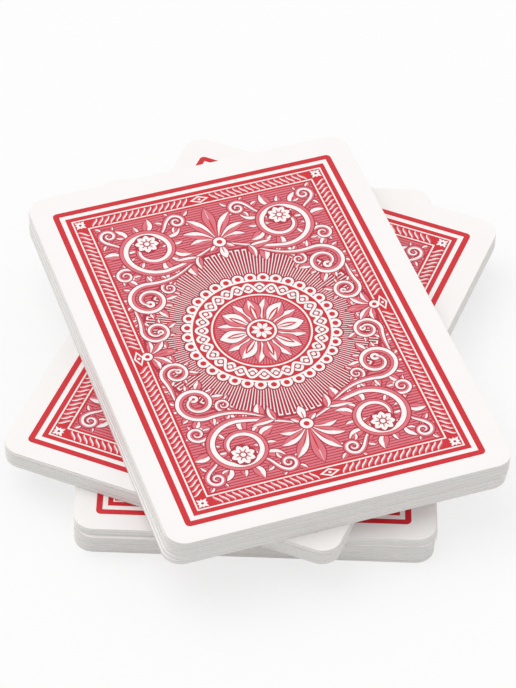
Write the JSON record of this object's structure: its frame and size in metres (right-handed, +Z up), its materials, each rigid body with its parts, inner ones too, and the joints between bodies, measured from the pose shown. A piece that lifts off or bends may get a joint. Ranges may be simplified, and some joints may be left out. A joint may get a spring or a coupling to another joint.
{
  "type": "playing card deck",
  "caption": "Deck of poker-size playing cards with red ornamental backs, in three packets stacked crosswise; each packet swivels and twists open into a rosette.",
  "frame": {"origin": "centre of the lowest card's printed face, where the deck rests on the table", "axes": "+Z up out of the table, through the card backs; +Y along the lower packet's long sides, away from the picture's viewer; +X to the viewer's right"},
  "size_m": [0.0892, 0.1076, 0.0151],
  "materials": {
    "card_stock": "smooth coated stock, satin"
  },
  "bodies": {
    "ace_of_hearts": {"ace_of_hearts": "card_stock"},
    "two_of_hearts": {"two_of_hearts": "card_stock"},
    "three_of_hearts": {"three_of_hearts": "card_stock"},
    "four_of_hearts": {"four_of_hearts": "card_stock"},
    "five_of_hearts": {"five_of_hearts": "card_stock"},
    "six_of_hearts": {"six_of_hearts": "card_stock"},
    "seven_of_hearts": {"seven_of_hearts": "card_stock"},
    "eight_of_hearts": {"eight_of_hearts": "card_stock"},
    "nine_of_hearts": {"nine_of_hearts": "card_stock"},
    "ten_of_hearts": {"ten_of_hearts": "card_stock"},
    "jack_of_hearts": {"jack_of_hearts": "card_stock"},
    "queen_of_hearts": {"queen_of_hearts": "card_stock"},
    "king_of_hearts": {"king_of_hearts": "card_stock"},
    "ace_of_clubs": {"ace_of_clubs": "card_stock"},
    "two_of_clubs": {"two_of_clubs": "card_stock"},
    "three_of_clubs": {"three_of_clubs": "card_stock"},
    "four_of_clubs": {"four_of_clubs": "card_stock"},
    "five_of_clubs": {"five_of_clubs": "card_stock"},
    "six_of_clubs": {"six_of_clubs": "card_stock"},
    "seven_of_clubs": {"seven_of_clubs": "card_stock"},
    "eight_of_clubs": {"eight_of_clubs": "card_stock"},
    "nine_of_clubs": {"nine_of_clubs": "card_stock"},
    "ten_of_clubs": {"ten_of_clubs": "card_stock"},
    "jack_of_clubs": {"jack_of_clubs": "card_stock"},
    "queen_of_clubs": {"queen_of_clubs": "card_stock"},
    "king_of_clubs": {"king_of_clubs": "card_stock"},
    "king_of_diamonds": {"king_of_diamonds": "card_stock"},
    "queen_of_diamonds": {"queen_of_diamonds": "card_stock"},
    "jack_of_diamonds": {"jack_of_diamonds": "card_stock"},
    "ten_of_diamonds": {"ten_of_diamonds": "card_stock"},
    "nine_of_diamonds": {"nine_of_diamonds": "card_stock"},
    "eight_of_diamonds": {"eight_of_diamonds": "card_stock"},
    "seven_of_diamonds": {"seven_of_diamonds": "card_stock"},
    "six_of_diamonds": {"six_of_diamonds": "card_stock"},
    "five_of_diamonds": {"five_of_diamonds": "card_stock"},
    "four_of_diamonds": {"four_of_diamonds": "card_stock"},
    "three_of_diamonds": {"three_of_diamonds": "card_stock"},
    "two_of_diamonds": {"two_of_diamonds": "card_stock"},
    "ace_of_diamonds": {"ace_of_diamonds": "card_stock"},
    "king_of_spades": {"king_of_spades": "card_stock"},
    "queen_of_spades": {"queen_of_spades": "card_stock"},
    "jack_of_spades": {"jack_of_spades": "card_stock"},
    "ten_of_spades": {"ten_of_spades": "card_stock"},
    "nine_of_spades": {"nine_of_spades": "card_stock"},
    "eight_of_spades": {"eight_of_spades": "card_stock"},
    "seven_of_spades": {"seven_of_spades": "card_stock"},
    "six_of_spades": {"six_of_spades": "card_stock"},
    "five_of_spades": {"five_of_spades": "card_stock"},
    "four_of_spades": {"four_of_spades": "card_stock"},
    "three_of_spades": {"three_of_spades": "card_stock"},
    "two_of_spades": {"two_of_spades": "card_stock"},
    "ace_of_spades": {"ace_of_spades": "card_stock"},
    "black_joker": {"black_joker": "card_stock"},
    "red_joker": {"red_joker": "card_stock"}
  },
  "joints": [
    {"name": "lower_packet_twist", "type": "hinge", "parent": "ace_of_hearts", "child": "two_of_hearts", "pos_m": [0, 0, 0.00028], "axis": [0, 0, 1], "range_deg": [-8.5, 8.5]},
    {"name": "three_of_hearts_turn", "type": "hinge", "parent": "two_of_hearts", "child": "three_of_hearts", "pos_m": [0, 0, 0.00056], "axis": [0, 0, 1], "range_deg": [-8.5, 8.5]},
    {"name": "four_of_hearts_turn", "type": "hinge", "parent": "three_of_hearts", "child": "four_of_hearts", "pos_m": [0, 0, 0.00084], "axis": [0, 0, 1], "range_deg": [-8.5, 8.5]},
    {"name": "five_of_hearts_turn", "type": "hinge", "parent": "four_of_hearts", "child": "five_of_hearts", "pos_m": [0, 0, 0.00112], "axis": [0, 0, 1], "range_deg": [-8.5, 8.5]},
    {"name": "six_of_hearts_turn", "type": "hinge", "parent": "five_of_hearts", "child": "six_of_hearts", "pos_m": [0, 0, 0.0014], "axis": [0, 0, 1], "range_deg": [-8.5, 8.5]},
    {"name": "seven_of_hearts_turn", "type": "hinge", "parent": "six_of_hearts", "child": "seven_of_hearts", "pos_m": [0, 0, 0.00168], "axis": [0, 0, 1], "range_deg": [-8.5, 8.5]},
    {"name": "eight_of_hearts_turn", "type": "hinge", "parent": "seven_of_hearts", "child": "eight_of_hearts", "pos_m": [0, 0, 0.00196], "axis": [0, 0, 1], "range_deg": [-8.5, 8.5]},
    {"name": "nine_of_hearts_turn", "type": "hinge", "parent": "eight_of_hearts", "child": "nine_of_hearts", "pos_m": [0, 0, 0.00224], "axis": [0, 0, 1], "range_deg": [-8.5, 8.5]},
    {"name": "ten_of_hearts_turn", "type": "hinge", "parent": "nine_of_hearts", "child": "ten_of_hearts", "pos_m": [0, 0, 0.00252], "axis": [0, 0, 1], "range_deg": [-8.5, 8.5]},
    {"name": "jack_of_hearts_turn", "type": "hinge", "parent": "ten_of_hearts", "child": "jack_of_hearts", "pos_m": [0, 0, 0.0028], "axis": [0, 0, 1], "range_deg": [-8.5, 8.5]},
    {"name": "queen_of_hearts_turn", "type": "hinge", "parent": "jack_of_hearts", "child": "queen_of_hearts", "pos_m": [0, 0, 0.00308], "axis": [0, 0, 1], "range_deg": [-8.5, 8.5]},
    {"name": "king_of_hearts_turn", "type": "hinge", "parent": "queen_of_hearts", "child": "king_of_hearts", "pos_m": [0, 0, 0.00336], "axis": [0, 0, 1], "range_deg": [-8.5, 8.5]},
    {"name": "ace_of_clubs_turn", "type": "hinge", "parent": "king_of_hearts", "child": "ace_of_clubs", "pos_m": [0, 0, 0.00364], "axis": [0, 0, 1], "range_deg": [-8.5, 8.5]},
    {"name": "two_of_clubs_turn", "type": "hinge", "parent": "ace_of_clubs", "child": "two_of_clubs", "pos_m": [0, 0, 0.00392], "axis": [0, 0, 1], "range_deg": [-8.5, 8.5]},
    {"name": "three_of_clubs_turn", "type": "hinge", "parent": "two_of_clubs", "child": "three_of_clubs", "pos_m": [0, 0, 0.0042], "axis": [0, 0, 1], "range_deg": [-8.5, 8.5]},
    {"name": "four_of_clubs_turn", "type": "hinge", "parent": "three_of_clubs", "child": "four_of_clubs", "pos_m": [0, 0, 0.00448], "axis": [0, 0, 1], "range_deg": [-8.5, 8.5]},
    {"name": "five_of_clubs_turn", "type": "hinge", "parent": "four_of_clubs", "child": "five_of_clubs", "pos_m": [0, 0, 0.00476], "axis": [0, 0, 1], "range_deg": [-8.5, 8.5]},
    {"name": "six_of_clubs_turn", "type": "hinge", "parent": "five_of_clubs", "child": "six_of_clubs", "pos_m": [0, 0, 0.00504], "axis": [0, 0, 1], "range_deg": [-8.5, 8.5]},
    {"name": "seven_of_clubs_turn", "type": "hinge", "parent": "six_of_clubs", "child": "seven_of_clubs", "pos_m": [0, 0, 0.00532], "axis": [0, 0, 1], "range_deg": [-8.5, 8.5]},
    {"name": "eight_of_clubs_turn", "type": "hinge", "parent": "seven_of_clubs", "child": "eight_of_clubs", "pos_m": [0, 0, 0.0056], "axis": [0, 0, 1], "range_deg": [-8.5, 8.5]},
    {"name": "nine_of_clubs_turn", "type": "hinge", "parent": "eight_of_clubs", "child": "nine_of_clubs", "pos_m": [0, 0, 0.00588], "axis": [0, 0, 1], "range_deg": [-8.5, 8.5]},
    {"name": "middle_packet_swivel", "type": "hinge", "parent": "nine_of_clubs", "child": "ten_of_clubs", "pos_m": [-0.0005, 0.001, 0.00616], "axis": [0, 0, 1], "continuous": true},
    {"name": "middle_packet_twist", "type": "hinge", "parent": "ten_of_clubs", "child": "jack_of_clubs", "pos_m": [-0.0005, 0.001, 0.00644], "axis": [0, 0, 1], "range_deg": [-15, 15]},
    {"name": "queen_of_clubs_turn", "type": "hinge", "parent": "jack_of_clubs", "child": "queen_of_clubs", "pos_m": [-0.0005, 0.001, 0.00672], "axis": [0, 0, 1], "range_deg": [-15, 15]},
    {"name": "king_of_clubs_turn", "type": "hinge", "parent": "queen_of_clubs", "child": "king_of_clubs", "pos_m": [-0.0005, 0.001, 0.007], "axis": [0, 0, 1], "range_deg": [-15, 15]},
    {"name": "king_of_diamonds_turn", "type": "hinge", "parent": "king_of_clubs", "child": "king_of_diamonds", "pos_m": [-0.0005, 0.001, 0.00728], "axis": [0, 0, 1], "range_deg": [-15, 15]},
    {"name": "queen_of_diamonds_turn", "type": "hinge", "parent": "king_of_diamonds", "child": "queen_of_diamonds", "pos_m": [-0.0005, 0.001, 0.00756], "axis": [0, 0, 1], "range_deg": [-15, 15]},
    {"name": "jack_of_diamonds_turn", "type": "hinge", "parent": "queen_of_diamonds", "child": "jack_of_diamonds", "pos_m": [-0.0005, 0.001, 0.00784], "axis": [0, 0, 1], "range_deg": [-15, 15]},
    {"name": "ten_of_diamonds_turn", "type": "hinge", "parent": "jack_of_diamonds", "child": "ten_of_diamonds", "pos_m": [-0.0005, 0.001, 0.00812], "axis": [0, 0, 1], "range_deg": [-15, 15]},
    {"name": "nine_of_diamonds_turn", "type": "hinge", "parent": "ten_of_diamonds", "child": "nine_of_diamonds", "pos_m": [-0.0005, 0.001, 0.0084], "axis": [0, 0, 1], "range_deg": [-15, 15]},
    {"name": "eight_of_diamonds_turn", "type": "hinge", "parent": "nine_of_diamonds", "child": "eight_of_diamonds", "pos_m": [-0.0005, 0.001, 0.00868], "axis": [0, 0, 1], "range_deg": [-15, 15]},
    {"name": "seven_of_diamonds_turn", "type": "hinge", "parent": "eight_of_diamonds", "child": "seven_of_diamonds", "pos_m": [-0.0005, 0.001, 0.00896], "axis": [0, 0, 1], "range_deg": [-15, 15]},
    {"name": "six_of_diamonds_turn", "type": "hinge", "parent": "seven_of_diamonds", "child": "six_of_diamonds", "pos_m": [-0.0005, 0.001, 0.00924], "axis": [0, 0, 1], "range_deg": [-15, 15]},
    {"name": "five_of_diamonds_turn", "type": "hinge", "parent": "six_of_diamonds", "child": "five_of_diamonds", "pos_m": [-0.0005, 0.001, 0.00952], "axis": [0, 0, 1], "range_deg": [-15, 15]},
    {"name": "upper_packet_swivel", "type": "hinge", "parent": "five_of_diamonds", "child": "four_of_diamonds", "pos_m": [0, -0.0028, 0.0098], "axis": [0, 0, 1], "continuous": true},
    {"name": "upper_packet_twist", "type": "hinge", "parent": "four_of_diamonds", "child": "three_of_diamonds", "pos_m": [0, -0.0028, 0.01008], "axis": [0, 0, 1], "range_deg": [-10.5, 10.5]},
    {"name": "two_of_diamonds_turn", "type": "hinge", "parent": "three_of_diamonds", "child": "two_of_diamonds", "pos_m": [0, -0.0028, 0.01036], "axis": [0, 0, 1], "range_deg": [-10.5, 10.5]},
    {"name": "ace_of_diamonds_turn", "type": "hinge", "parent": "two_of_diamonds", "child": "ace_of_diamonds", "pos_m": [0, -0.0028, 0.01064], "axis": [0, 0, 1], "range_deg": [-10.5, 10.5]},
    {"name": "king_of_spades_turn", "type": "hinge", "parent": "ace_of_diamonds", "child": "king_of_spades", "pos_m": [0, -0.0028, 0.01092], "axis": [0, 0, 1], "range_deg": [-10.5, 10.5]},
    {"name": "queen_of_spades_turn", "type": "hinge", "parent": "king_of_spades", "child": "queen_of_spades", "pos_m": [0, -0.0028, 0.0112], "axis": [0, 0, 1], "range_deg": [-10.5, 10.5]},
    {"name": "jack_of_spades_turn", "type": "hinge", "parent": "queen_of_spades", "child": "jack_of_spades", "pos_m": [0, -0.0028, 0.01148], "axis": [0, 0, 1], "range_deg": [-10.5, 10.5]},
    {"name": "ten_of_spades_turn", "type": "hinge", "parent": "jack_of_spades", "child": "ten_of_spades", "pos_m": [0, -0.0028, 0.01176], "axis": [0, 0, 1], "range_deg": [-10.5, 10.5]},
    {"name": "nine_of_spades_turn", "type": "hinge", "parent": "ten_of_spades", "child": "nine_of_spades", "pos_m": [0, -0.0028, 0.01204], "axis": [0, 0, 1], "range_deg": [-10.5, 10.5]},
    {"name": "eight_of_spades_turn", "type": "hinge", "parent": "nine_of_spades", "child": "eight_of_spades", "pos_m": [0, -0.0028, 0.01232], "axis": [0, 0, 1], "range_deg": [-10.5, 10.5]},
    {"name": "seven_of_spades_turn", "type": "hinge", "parent": "eight_of_spades", "child": "seven_of_spades", "pos_m": [0, -0.0028, 0.0126], "axis": [0, 0, 1], "range_deg": [-10.5, 10.5]},
    {"name": "six_of_spades_turn", "type": "hinge", "parent": "seven_of_spades", "child": "six_of_spades", "pos_m": [0, -0.0028, 0.01288], "axis": [0, 0, 1], "range_deg": [-10.5, 10.5]},
    {"name": "five_of_spades_turn", "type": "hinge", "parent": "six_of_spades", "child": "five_of_spades", "pos_m": [0, -0.0028, 0.01316], "axis": [0, 0, 1], "range_deg": [-10.5, 10.5]},
    {"name": "four_of_spades_turn", "type": "hinge", "parent": "five_of_spades", "child": "four_of_spades", "pos_m": [0, -0.0028, 0.01344], "axis": [0, 0, 1], "range_deg": [-10.5, 10.5]},
    {"name": "three_of_spades_turn", "type": "hinge", "parent": "four_of_spades", "child": "three_of_spades", "pos_m": [0, -0.0028, 0.01372], "axis": [0, 0, 1], "range_deg": [-10.5, 10.5]},
    {"name": "two_of_spades_turn", "type": "hinge", "parent": "three_of_spades", "child": "two_of_spades", "pos_m": [0, -0.0028, 0.014], "axis": [0, 0, 1], "range_deg": [-10.5, 10.5]},
    {"name": "ace_of_spades_turn", "type": "hinge", "parent": "two_of_spades", "child": "ace_of_spades", "pos_m": [0, -0.0028, 0.01428], "axis": [0, 0, 1], "range_deg": [-10.5, 10.5]},
    {"name": "black_joker_turn", "type": "hinge", "parent": "ace_of_spades", "child": "black_joker", "pos_m": [0, -0.0028, 0.01456], "axis": [0, 0, 1], "range_deg": [-10.5, 10.5]},
    {"name": "top_card_deal", "type": "slide", "parent": "black_joker", "child": "red_joker", "axis": [0.9361, 0.3518, 0], "range_m": [0, 0.03]}
  ],
  "couplings": [
    {"joint": "three_of_hearts_turn", "follows": "lower_packet_twist", "ratio": 1},
    {"joint": "four_of_hearts_turn", "follows": "lower_packet_twist", "ratio": 1},
    {"joint": "five_of_hearts_turn", "follows": "lower_packet_twist", "ratio": 1},
    {"joint": "six_of_hearts_turn", "follows": "lower_packet_twist", "ratio": 1},
    {"joint": "seven_of_hearts_turn", "follows": "lower_packet_twist", "ratio": 1},
    {"joint": "eight_of_hearts_turn", "follows": "lower_packet_twist", "ratio": 1},
    {"joint": "nine_of_hearts_turn", "follows": "lower_packet_twist", "ratio": 1},
    {"joint": "ten_of_hearts_turn", "follows": "lower_packet_twist", "ratio": 1},
    {"joint": "jack_of_hearts_turn", "follows": "lower_packet_twist", "ratio": 1},
    {"joint": "queen_of_hearts_turn", "follows": "lower_packet_twist", "ratio": 1},
    {"joint": "king_of_hearts_turn", "follows": "lower_packet_twist", "ratio": 1},
    {"joint": "ace_of_clubs_turn", "follows": "lower_packet_twist", "ratio": 1},
    {"joint": "two_of_clubs_turn", "follows": "lower_packet_twist", "ratio": 1},
    {"joint": "three_of_clubs_turn", "follows": "lower_packet_twist", "ratio": 1},
    {"joint": "four_of_clubs_turn", "follows": "lower_packet_twist", "ratio": 1},
    {"joint": "five_of_clubs_turn", "follows": "lower_packet_twist", "ratio": 1},
    {"joint": "six_of_clubs_turn", "follows": "lower_packet_twist", "ratio": 1},
    {"joint": "seven_of_clubs_turn", "follows": "lower_packet_twist", "ratio": 1},
    {"joint": "eight_of_clubs_turn", "follows": "lower_packet_twist", "ratio": 1},
    {"joint": "nine_of_clubs_turn", "follows": "lower_packet_twist", "ratio": 1},
    {"joint": "queen_of_clubs_turn", "follows": "middle_packet_twist", "ratio": 1},
    {"joint": "king_of_clubs_turn", "follows": "middle_packet_twist", "ratio": 1},
    {"joint": "king_of_diamonds_turn", "follows": "middle_packet_twist", "ratio": 1},
    {"joint": "queen_of_diamonds_turn", "follows": "middle_packet_twist", "ratio": 1},
    {"joint": "jack_of_diamonds_turn", "follows": "middle_packet_twist", "ratio": 1},
    {"joint": "ten_of_diamonds_turn", "follows": "middle_packet_twist", "ratio": 1},
    {"joint": "nine_of_diamonds_turn", "follows": "middle_packet_twist", "ratio": 1},
    {"joint": "eight_of_diamonds_turn", "follows": "middle_packet_twist", "ratio": 1},
    {"joint": "seven_of_diamonds_turn", "follows": "middle_packet_twist", "ratio": 1},
    {"joint": "six_of_diamonds_turn", "follows": "middle_packet_twist", "ratio": 1},
    {"joint": "five_of_diamonds_turn", "follows": "middle_packet_twist", "ratio": 1},
    {"joint": "two_of_diamonds_turn", "follows": "upper_packet_twist", "ratio": 1},
    {"joint": "ace_of_diamonds_turn", "follows": "upper_packet_twist", "ratio": 1},
    {"joint": "king_of_spades_turn", "follows": "upper_packet_twist", "ratio": 1},
    {"joint": "queen_of_spades_turn", "follows": "upper_packet_twist", "ratio": 1},
    {"joint": "jack_of_spades_turn", "follows": "upper_packet_twist", "ratio": 1},
    {"joint": "ten_of_spades_turn", "follows": "upper_packet_twist", "ratio": 1},
    {"joint": "nine_of_spades_turn", "follows": "upper_packet_twist", "ratio": 1},
    {"joint": "eight_of_spades_turn", "follows": "upper_packet_twist", "ratio": 1},
    {"joint": "seven_of_spades_turn", "follows": "upper_packet_twist", "ratio": 1},
    {"joint": "six_of_spades_turn", "follows": "upper_packet_twist", "ratio": 1},
    {"joint": "five_of_spades_turn", "follows": "upper_packet_twist", "ratio": 1},
    {"joint": "four_of_spades_turn", "follows": "upper_packet_twist", "ratio": 1},
    {"joint": "three_of_spades_turn", "follows": "upper_packet_twist", "ratio": 1},
    {"joint": "two_of_spades_turn", "follows": "upper_packet_twist", "ratio": 1},
    {"joint": "ace_of_spades_turn", "follows": "upper_packet_twist", "ratio": 1},
    {"joint": "black_joker_turn", "follows": "upper_packet_twist", "ratio": 1}
  ]
}
